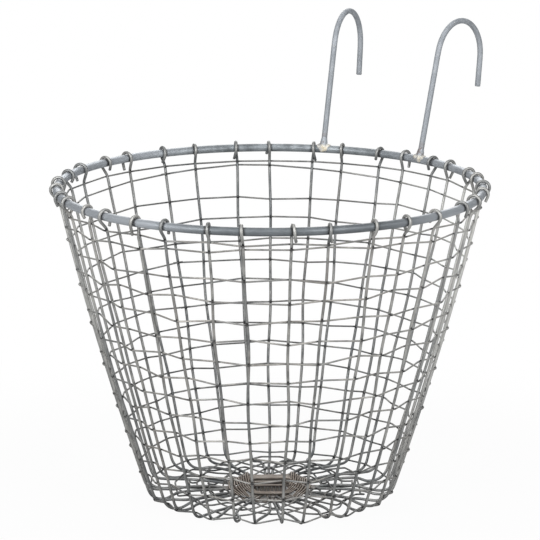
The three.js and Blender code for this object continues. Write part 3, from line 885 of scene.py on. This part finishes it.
def rgba(shade):
    """A colour with full alpha."""
    return (*shade, 1.0)


def new_material(name):
    """An empty node material and the socket that its nodes grow from."""
    material = bpy.data.materials.new(name)
    material.use_nodes = True
    material.node_tree.nodes.clear()
    return material, Socket(material.node_tree)


def finish_material(start, surface):
    """Links a shader to the material's output."""
    start.node("ShaderNodeOutputMaterial", inputs={"Surface": surface})


def finish_metal(start, base, metal, roughness, height, strength, depth):
    """A metal surface with a bump of a height, a strength and a depth, as the material's output."""
    bump = start.node(
        "ShaderNodeBump",
        inputs={"Strength": strength, "Distance": depth, "Height": height},
        output="Normal",
    )
    shader = start.node(
        "ShaderNodeBsdfPrincipled",
        inputs={"Base Color": base, "Metallic": metal, "Roughness": roughness, "Normal": bump},
    )
    finish_material(start, shader)


# Weather and painted light on the zinc. A BAND runs from nothing to all, in metres; a FADE is one
# measured from the rim's centre, or for the hooks and welds from its top. A NOISE has a scale, a
# detail and a seed, and its EDGES are what is cut out of it. A SHARE is how much of its colour a
# mark shows. The BACK, LOW and RIM_FRONT marks are painted shade, and the FRONT, SIDE, LOOP and
# RIM_SIDE marks painted light; PATCH, HUB, STREAK and HEAT are the zinc's own colour.
FRONT_EAST, FRONT_SOUTH = 0.52, 0.85
FRONT_BAND, FRONT_FADE, FRONT_SHARE = (-20 * MM, 100 * MM), (-4 * MM, 8 * MM), 0.15
BACK_BAND, BACK_SHARE = (-100 * MM, 20 * MM), 0.4
SIDE_BAND, SIDE_FADE, SIDE_SHARE = (30 * MM, 130 * MM), (-12 * MM, 0.0), 0.8
SIDE_SHIFT = 10 * MM
LOW_BAND, LOW_SHARE = (4 * MM, 9 * MM), 0.4
LOOP_FADE, LOOP_SHARE = (-5 * MM, 1 * MM), 0.3
HUB_BAND, HUB_SHARE = (20 * MM, 30 * MM), 0.65
PATCH_NOISE, PATCH_EDGES, PATCH_SHARE = (16.0, 2.0, 11.0), (0.52, 0.70), 0.25
STREAK_NOISE, STREAK_EDGES, STREAK_SHARE = (55.0, 2.0, 21.0), (0.50, 0.62), 0.45
STREAK_UPRIGHT = 0.12
RIM_FRONT_BAND, RIM_FRONT_SHARE = (20 * MM, 100 * MM), 0.8
RIM_SIDE_BAND, RIM_SIDE_SHARE = (40 * MM, 85 * MM), 0.55
RIM_SIDE_SHIFT = -13.5 * MM
STEM_FADE, STEM_SHARE = (25 * MM, 70 * MM), 0.7
HEAT_FADE, HEAT_LEAST, HEAT_SHARE = (3 * MM, 11 * MM), 0.25, 0.6
HEAT_NOISE, HEAT_EDGES = (420.0, 3.0, 12.0), (0.40, 0.60)


def squared(band):
    """The squares of a band's edges, to compare with a squared distance."""
    return [edge ** 2 for edge in band]


def from_level(level, fade):
    """A band of heights that is measured from a level."""
    return [level + edge for edge in fade]


def across_basket(east, north, shift):
    """Squared distance to the left or right of the line from the back to the front."""
    across = FRONT_SOUTH * east + FRONT_EAST * north + shift
    return across * across


def ahead_of_axis(east, north):
    """Distance from the basket's axis towards its front."""
    return FRONT_EAST * east - FRONT_SOUTH * north


def woven_weather_and_painted_light(colours, top):
    """Colour of the woven wires by place: the zinc's own brown in faint patches and round the hub
    and its dark upright streaks, painted shade at the back and low down, and painted light in
    front, on two sides and on the loops at a top height."""

    def overlay(start, base):
        east, north, height = start.axes()
        ahead = ahead_of_axis(east, north)
        patch = start.noise(*PATCH_NOISE).step(*PATCH_EDGES)
        back = 1 - ahead.step(*BACK_BAND)
        front = ahead.step(*FRONT_BAND) * (1 - height.step(*from_level(top, FRONT_FADE)))
        low = 1 - height.step(*LOW_BAND)
        sides = across_basket(east, north, SIDE_SHIFT).step(*squared(SIDE_BAND))
        sides = sides * (1 - height.step(*from_level(top, SIDE_FADE)))
        loops = height.step(*from_level(top, LOOP_FADE))
        streak = start.noise(*STREAK_NOISE, STREAK_UPRIGHT).step(*STREAK_EDGES)
        hub = 1 - (east * east + north * north).step(*squared(HUB_BAND))
        # The back and low marks are painted shade and the front, side and loop marks painted light; the
        # patches, the hub's brown and the streaks are the zinc's own colour
        marks = (
            (colours.hub_light, patch * PATCH_SHARE),
            (colours.painted_shade_and_streak, back * BACK_SHARE),
            (colours.painted_light, front * FRONT_SHARE),
            (colours.painted_shade_and_streak, low * LOW_SHARE),
            (colours.painted_light, sides * SIDE_SHARE),
            (colours.painted_light, loops * LOOP_SHARE),
            (colours.painted_shade_and_streak, streak * STREAK_SHARE),
            (colours.hub_light, hub * HUB_SHARE),
        )
        for shade, share in marks:
            base = start.mix(base, rgba(shade), share)
        return base

    return overlay


def rim_painted_light(colours):
    """Painted light on the rim by place: painted shade in front and painted highlight on two sides."""

    def overlay(start, base):
        east, north, _ = start.axes()
        front = ahead_of_axis(east, north).step(*RIM_FRONT_BAND)
        sides = across_basket(east, north, RIM_SIDE_SHIFT).step(*squared(RIM_SIDE_BAND))
        # Painted shade in front and painted highlight on two sides
        base = start.mix(base, rgba(colours.rim_dark), front * RIM_FRONT_SHARE)
        return start.mix(base, rgba(colours.rim_painted_highlight), sides * RIM_SIDE_SHARE)

    return overlay


def scorched(colours, level):
    """Stems darker from the foot up to the bend, and brown patches where the weld's heat reached the
    hooks, just above a level."""

    def overlay(start, base):
        _, _, height = start.axes()
        heat = 1 - height.step(*from_level(level, HEAT_FADE))
        patch = start.noise(*HEAT_NOISE).step(*HEAT_EDGES)
        stem = 1 - height.step(*from_level(level, STEM_FADE))
        base = start.mix(base, rgba(colours.hook_dark), stem * STEM_SHARE)
        return start.mix(base, rgba(colours.scorch), heat * (HEAT_LEAST + HEAT_SHARE * patch))

    return overlay


def plain(start, base):
    """No weathering."""
    return base


# Metallic share, roughness and noise seed of each zinc
ZINCS = {
    "rim_zinc": (0.45, 0.45, 0.0),
    "hook_zinc": (0.12, 0.60, 1.0),
    "stake_zinc": (0.6, 0.42, 2.0),
    "weft_zinc": (0.6, 0.42, 3.0),
    "base_zinc": (0.6, 0.42, 4.0),
    "hub_wire": (0.25, 0.5, 5.0),
}
CLOUD_SCALE, CLOUD_DETAIL, CLOUD_EDGES = 140.0, 4.0, (0.32, 0.68)
GRAIN_SCALE, GRAIN_DETAIL, GRAIN_SEED = 1500.0, 3.0, 3.0
SPECK_SCALE, SPECK_DETAIL, SPECK_SEED, SPECK_EDGES = 620.0, 2.0, 7.0, (0.64, 0.74)
GRAIN_SHARE = 0.25
BLOOM_SHARE = 0.55
# Edges and share of the painted shade that each piece's attribute sets at crossings, under low wires
# and between the winding's loops
PAINTED_SHADE_EDGES, PAINTED_SHADE_SHARE = (0.2, 0.9), 0.88
GRAIN_DULLS, CLOUD_SHINES = 0.16, 0.10
ZINC_BUMP, ZINC_DEPTH, SPECK_HEIGHT = 0.25, 0.12 * MM, 0.6


def zinc(name, light, dark, bloom, shade, overlay):
    """Galvanised wire: cloudy light and dark zinc, fine grain and specks of pale bloom, an overlay of
    weathering and painted light and shade by place on top, and painted shade in the grooves where
    wires meet."""
    metal, dull, seed = ZINCS[name]
    material, start = new_material(name)
    cloud = start.noise(CLOUD_SCALE, CLOUD_DETAIL, seed).step(*CLOUD_EDGES)
    grain = start.noise(GRAIN_SCALE, GRAIN_DETAIL, seed + GRAIN_SEED)
    speck = start.noise(SPECK_SCALE, SPECK_DETAIL, seed + SPECK_SEED).step(*SPECK_EDGES)
    base = start.mix(rgba(dark), rgba(light), cloud * (1 - GRAIN_SHARE) + grain * GRAIN_SHARE)
    base = start.mix(base, rgba(bloom), speck * BLOOM_SHARE)
    base = overlay(start, base)
    # Painted shade from each piece's attribute: contact shadow where wires meet, shade under the low
    # wires and between the winding's loops
    painted_shade = start.node("ShaderNodeAttribute", {"attribute_name": "painted_shade"}, output="Fac")
    base = start.mix(base, rgba(shade), painted_shade.step(*PAINTED_SHADE_EDGES) * PAINTED_SHADE_SHARE)
    roughness = dull + GRAIN_DULLS * grain - CLOUD_SHINES * cloud
    height = grain + speck * SPECK_HEIGHT
    finish_metal(start, base, metal, roughness, height, ZINC_BUMP, ZINC_DEPTH)
    return material


def woven_zinc(name, colours, light, dark, lay):
    """The zinc of a woven wire, with weathering and painted light and shade by place, and painted shade
    at the crossings.
    """
    overlay = woven_weather_and_painted_light(colours, lay.s.rim_height)
    return zinc(name, light, dark, colours.rim_light, colours.crossing, overlay)


FLUX_NOISE, FLUX_EDGES = (330.0, 4.0, 2.0), (0.34, 0.52)
TINT_NOISE, TINT_EDGES, TINT_SHARE = (420.0, 3.0, 9.0), (0.48, 0.62), 0.4
WELD_GRAIN = (1400.0, 3.0, 5.0)
WELD_METAL, WELD_DULL, WELD_GRAIN_DULLS = 0.2, 0.5, 0.2
WELD_BUMP, WELD_DEPTH = 0.5, 0.3 * MM
BARE_FADE = (-0.2 * MM, 1.4 * MM)


def weld_metal(name, colours, level):
    """Weld bead: grey metal under pale flux, with yellow heat tint in patches, and bare and
    scorched above a level, where it runs up the hook."""
    material, start = new_material(name)
    _, _, height = start.axes()
    bare = height.step(*from_level(level, BARE_FADE))
    flux = start.noise(*FLUX_NOISE).step(*FLUX_EDGES)
    tint = start.noise(*TINT_NOISE).step(*TINT_EDGES)
    grain = start.noise(*WELD_GRAIN)
    base = start.mix(rgba(colours.weld_dark), rgba(colours.weld_light), flux)
    base = start.mix(base, rgba(colours.weld_tint), tint * TINT_SHARE)
    stem = start.mix(rgba(colours.scorch), rgba(colours.hook_light), flux)
    base = start.mix(base, stem, bare)
    roughness = WELD_DULL + WELD_GRAIN_DULLS * grain
    finish_metal(start, base, WELD_METAL, roughness, grain + flux, WELD_BUMP, WELD_DEPTH)
    return material


WHITE = (1, 1, 1, 1)
# How white the floor is to the camera: least at its middle, then two bands of more
FLOOR_LEAST = 0.04
FLOOR_NEAR_BAND, FLOOR_NEAR_SHARE = (10 * MM, 26 * MM), 0.91
FLOOR_FAR_BAND, FLOOR_FAR_SHARE = (150 * MM, 350 * MM), 0.05


def backdrop_white(name, shade):
    """Pale floor: mostly plain white to the camera, and a dull surface that keeps the object's
    shadow near it."""
    material, start = new_material(name)
    seen = start.node("ShaderNodeLightPath", output="Is Camera Ray")
    dull = start.node("ShaderNodeBsdfDiffuse", inputs={"Color": rgba(shade)})
    glow = start.node("ShaderNodeEmission", inputs={"Color": WHITE, "Strength": 1.0})
    away = start.node("ShaderNodeVectorMath", {"operation": "LENGTH"}, {0: start.place()}, "Value")
    near = FLOOR_NEAR_SHARE * away.step(*FLOOR_NEAR_BAND)
    far = FLOOR_FAR_SHARE * away.step(*FLOOR_FAR_BAND)
    white = seen * (FLOOR_LEAST + near + far)
    mixed = start.node("ShaderNodeMixShader", inputs={0: white, 1: dull, 2: glow})
    finish_material(start, mixed)
    return material


def basket_layout(context):
    """The layout and colours from the scene's properties."""
    return Layout(context.scene.basket_sizes), context.scene.basket_colours


RIM_POINTS = 360
RIM_FACETS = 24


class BASKET_OT_rim(bpy.types.Operator):
    """Make the rim ring from one closed round rod"""

    bl_idname = "basket.rim"
    bl_label = "Rim ring"

    def execute(self, context):
        lay, colours = basket_layout(context)
        finish = zinc(
            "rim_zinc",
            colours.rim_light,
            colours.rim_dark,
            colours.hook_light,
            colours.crossing,
            rim_painted_light(colours),
        )
        turn = np.arange(RIM_POINTS) * TURN / RIM_POINTS
        line = polar(lay.rim_radius, turn, lay.s.rim_height)
        shape = tube(line, UP, lay.s.rim_rod / 2, RIM_FACETS, True)
        loops = polar(lay.rim_radius, lay.stake_angle(np.arange(lay.s.stakes)), lay.s.rim_height)
        # Painted shadow on the rim beside each stake's loop
        painted_shade = crossing_shade_mask(shape[0], loops, *RIM_CONTACT_SHADE)
        add_piece("rim_rod", shape, finish, "rim_zinc", "rim_ring", painted_shade=painted_shade)
        return {"FINISHED"}


class BASKET_OT_hooks(bpy.types.Operator):
    """Make the two hooks that go over a rail"""

    bl_idname = "basket.hooks"
    bl_label = "Hooks"

    def execute(self, context):
        lay, colours = basket_layout(context)
        finish = zinc(
            "hook_zinc",
            colours.hook_light,
            colours.hook_dark,
            colours.weld_light,
            colours.crossing,
            scorched(colours, lay.rim_top),
        )
        for hand, sign in HANDS.items():
            _, outward = hook_place(lay, sign)
            sides = np.cross(outward, UP)
            shape = tube(hook_line(lay, sign), sides, lay.s.hook_rod / 2, HOOK_FACETS)
            add_piece(f"{hand}_hook_rod", shape, finish, "hook_zinc", f"hook_{hand}")
        return {"FINISHED"}


class BASKET_OT_welds(bpy.types.Operator):
    """Make the weld beads that hold the hooks on the rim"""

    bl_idname = "basket.welds"
    bl_label = "Welds"

    def execute(self, context):
        lay, colours = basket_layout(context)
        finish = weld_metal("weld_metal", colours, lay.rim_top)
        for hand, sign in HANDS.items():
            shape = weld_shape(lay, sign)
            add_piece(f"{hand}_weld_bead", shape, finish, "weld_metal", f"hook_weld_{hand}")
        return {"FINISHED"}


class BASKET_OT_stakes(bpy.types.Operator):
    """Make the upright wires, each of which crosses the hub and comes up on both sides"""

    bl_idname = "basket.stakes"
    bl_label = "Stakes"

    def execute(self, context):
        lay, colours = basket_layout(context)
        finish = woven_zinc("stake_zinc", colours, colours.stake_light, colours.stake_dark, lay)
        marks = [weft_points(lay, crossing) for crossing in all_crossings(lay)]
        for index in range(BASE_ROUND_COUNT):
            marks.append(base_crossings(base_round_points(lay, index)))
        marks = np.concatenate(marks)
        for lane in range(lay.wires_in_arm):
            ends = {
                "upper": (lane, (lay.arms - 1) * lay.wires_in_arm - 1 - lane),
                "lower": (lay.wires_in_arm + lane, lay.arms * lay.wires_in_arm - 1 - lane),
            }
            for layer, (first, second) in ends.items():
                shape = stake_wire(lay, first, second, layer == "upper")
                # Painted shade at the crossings and on the undersides near the floor
                painted_shade = crossing_shade_mask(shape[0], marks, *STAKE_CONTACT_SHADE)
                painted_shade = np.maximum(painted_shade, underside_shade_mask(shape[0], STAKE_FACETS))
                node = f"{layer}_stake_wire_{lane + 1}"
                add_piece(f"{layer}_stake_{lane + 1}", shape, finish, "stake_zinc", node, painted_shade=painted_shade)
        return {"FINISHED"}


class BASKET_OT_weft(bpy.types.Operator):
    """Make the thin rounds woven through the wall and the corner"""

    bl_idname = "basket.weft"
    bl_label = "Wall weft"

    def execute(self, context):
        lay, colours = basket_layout(context)
        finish = woven_zinc("weft_zinc", colours, colours.weft_light, colours.weft_dark, lay)
        rounds = wall_rounds()
        pieces = [f"wall_weft_{index + 1:02d}" for index in range(len(rounds))] + ["corner_weft"]
        for name, node, crossing in zip(pieces, rounds + ["corner_round"], all_crossings(lay)):
            points = weft_points(lay, crossing)
            shape = tube(weft_line(points), UP, lay.s.weft_wire / 2, WEFT_FACETS)
            # Painted contact shadow where the round crosses the stakes
            painted_shade = crossing_shade_mask(shape[0], points, *WEFT_CONTACT_SHADE)
            add_piece(name, shape, finish, "weft_zinc", node, painted_shade=painted_shade)
        return {"FINISHED"}


class BASKET_OT_base(bpy.types.Operator):
    """Make the thin rounds woven through the base's spokes"""

    bl_idname = "basket.base"
    bl_label = "Base weft"

    def execute(self, context):
        lay, colours = basket_layout(context)
        finish = woven_zinc("base_zinc", colours, colours.weft_light, colours.weft_dark, lay)
        for index in range(BASE_ROUND_COUNT):
            points = base_round_points(lay, index)
            shape = tube(base_round_line(points), UP, lay.s.weft_wire / 2, WEFT_FACETS)
            # Painted shade at the crossings and on the undersides near the floor
            painted_shade = crossing_shade_mask(shape[0], base_crossings(points), *WEFT_CONTACT_SHADE)
            painted_shade = np.maximum(painted_shade, underside_shade_mask(shape[0], WEFT_FACETS))
            node = f"base_round_{index + 1}"
            add_piece(f"base_weft_{index + 1}", shape, finish, "weft_zinc", node, painted_shade=painted_shade)
        return {"FINISHED"}


class BASKET_OT_binding(bpy.types.Operator):
    """Make the winding that ties the cross of wires at the hub"""

    bl_idname = "basket.binding"
    bl_label = "Hub binding"

    def execute(self, context):
        lay, colours = basket_layout(context)
        finish = zinc(
            "hub_wire",
            colours.winding_light,
            colours.hub_light,
            colours.weft_light,
            colours.winding_painted_shade,
            plain,
        )
        shape = tube(binding_line(lay), UP, lay.s.binding_wire / 2, BINDING_FACETS)
        # Painted shade between the winding's loops, where they face each other
        painted_shade = winding_shade_mask(shape[0])
        add_piece("hub_winding", shape, finish, "hub_wire", "hub_binding", painted_shade=painted_shade)
        return {"FINISHED"}


CAMERA_AZIMUTH = math.radians(31.42)
CAMERA_ELEVATION = math.radians(11.4)
CAMERA_PITCH = math.radians(12.887)
CAMERA_DISTANCE = 1.841
CAMERA_LENS = 213.0
CAMERA_FAR = 20.0
SENSOR = 36.0
FLOOR_REACH = 3.0
FLOOR_POINTS = 64
FLOOR_DROP = 0.2 * MM
AMBIENT = 0.17
MIRRORED = 0.20
LAMP_TARGET = (0, 0, 0.1)
# Each lamp's place, width and power
LAMPS = {
    "top_lamp": ((0.1, -0.5, 1.7), 1.2, 11.0),
    "left_lamp": ((-0.07, -0.95, 0.55), 0.6, 8.2),
    "right_lamp": ((0.87, -0.38, 0.55), 0.6, 7.2),
    "back_lamp": ((-0.55, 0.95, 0.75), 0.9, 8.0),
}


class BASKET_OT_stage(bpy.types.Operator):
    """Make the floor, the soft lamps, the white surroundings and the camera"""

    bl_idname = "basket.stage"
    bl_label = "Stage"

    def floor(self, shade):
        """A round level floor: a ring of points about one centre."""
        turn = np.arange(FLOOR_POINTS) * TURN / FLOOR_POINTS
        points = polar(FLOOR_REACH, turn, -FLOOR_DROP)
        mesh = bpy.data.meshes.new("floor")
        mesh.from_pydata(points.tolist(), [], [list(range(FLOOR_POINTS))])
        floor = bpy.data.objects.new("floor", mesh)
        bpy.context.scene.collection.objects.link(floor)
        mesh.materials.append(backdrop_white("floor_white", shade))

    def lamp(self, name, place, size, power):
        """A square soft lamp that faces the basket."""
        data = bpy.data.lights.new(name, "AREA")
        data.shape = "SQUARE"
        data.size = size
        data.energy = power
        lamp = bpy.data.objects.new(name, data)
        bpy.context.scene.collection.objects.link(lamp)
        aim = Vector(LAMP_TARGET) - Vector(place)
        lamp.location = place
        lamp.rotation_euler = aim.to_track_quat("-Z", "Y").to_euler()

    def surroundings(self):
        """White to the camera, a softer level in reflections and a low one as light."""
        world = bpy.data.worlds.new("surroundings")
        bpy.context.scene.world = world
        world.use_nodes = True
        world.node_tree.nodes.clear()
        start = Socket(world.node_tree)
        camera = start.node("ShaderNodeLightPath", output="Is Camera Ray")
        glossy = start.node("ShaderNodeLightPath", output="Is Glossy Ray")
        strength = AMBIENT + (1 - AMBIENT) * camera + (MIRRORED - AMBIENT) * glossy
        sky = start.node("ShaderNodeBackground", inputs={"Color": WHITE, "Strength": strength})
        start.node("ShaderNodeOutputWorld", inputs={"Surface": sky})

    def camera(self, lay):
        """The photograph's view: a long lens that looks a little down at the basket."""
        data = bpy.data.cameras.new("photo_view")
        data.sensor_width = SENSOR
        data.lens = CAMERA_LENS
        data.clip_end = CAMERA_FAR
        camera = bpy.data.objects.new("photo_view", data)
        bpy.context.scene.collection.objects.link(camera)
        level = CAMERA_DISTANCE * math.cos(CAMERA_ELEVATION)
        camera.location = (
            level * math.sin(CAMERA_AZIMUTH),
            -level * math.cos(CAMERA_AZIMUTH),
            lay.s.rim_height + CAMERA_DISTANCE * math.sin(CAMERA_ELEVATION),
        )
        camera.rotation_euler = (math.pi / 2 - CAMERA_PITCH, 0, CAMERA_AZIMUTH)
        bpy.context.scene.camera = camera

    def execute(self, context):
        lay, colours = basket_layout(context)
        self.floor(colours.floor)
        for name, (place, size, power) in LAMPS.items():
            self.lamp(name, place, size, power)
        self.surroundings()
        self.camera(lay)
        context.scene.view_settings.view_transform = "Standard"
        return {"FINISHED"}


class BASKET_PT_panel(bpy.types.Panel):
    """Sizes, colours and makers of the basket"""

    bl_idname = "BASKET_PT_panel"
    bl_label = "Wire hanging basket"
    bl_space_type = "VIEW_3D"
    bl_region_type = "UI"
    bl_category = "Basket"

    def draw(self, context):
        for maker in MAKERS:
            self.layout.operator(maker.bl_idname, text=maker.bl_label)
        for group in (context.scene.basket_sizes, context.scene.basket_colours):
            box = self.layout.box()
            for name in group.__annotations__:
                box.prop(group, name)


MAKERS = (
    BASKET_OT_rim,
    BASKET_OT_hooks,
    BASKET_OT_welds,
    BASKET_OT_stakes,
    BASKET_OT_weft,
    BASKET_OT_base,
    BASKET_OT_binding,
    BASKET_OT_stage,
)
CLASSES = (BASKET_PG_sizes, BASKET_PG_colours, *MAKERS, BASKET_PT_panel)


def register():
    """Registers the classes and puts the properties on the scene."""
    for cls in CLASSES:
        bpy.utils.register_class(cls)
    bpy.types.Scene.basket_sizes = PointerProperty(type=BASKET_PG_sizes)
    bpy.types.Scene.basket_colours = PointerProperty(type=BASKET_PG_colours)


def unregister():
    """Takes the properties and the classes away again."""
    del bpy.types.Scene.basket_colours
    del bpy.types.Scene.basket_sizes
    for cls in reversed(CLASSES):
        bpy.utils.unregister_class(cls)


def main():
    """Makes every piece and the stage."""
    register()
    bpy.ops.basket.rim()
    bpy.ops.basket.hooks()
    bpy.ops.basket.welds()
    bpy.ops.basket.stakes()
    bpy.ops.basket.weft()
    bpy.ops.basket.base()
    bpy.ops.basket.binding()
    bpy.ops.basket.stage()


if __name__ == "__main__":
    main()
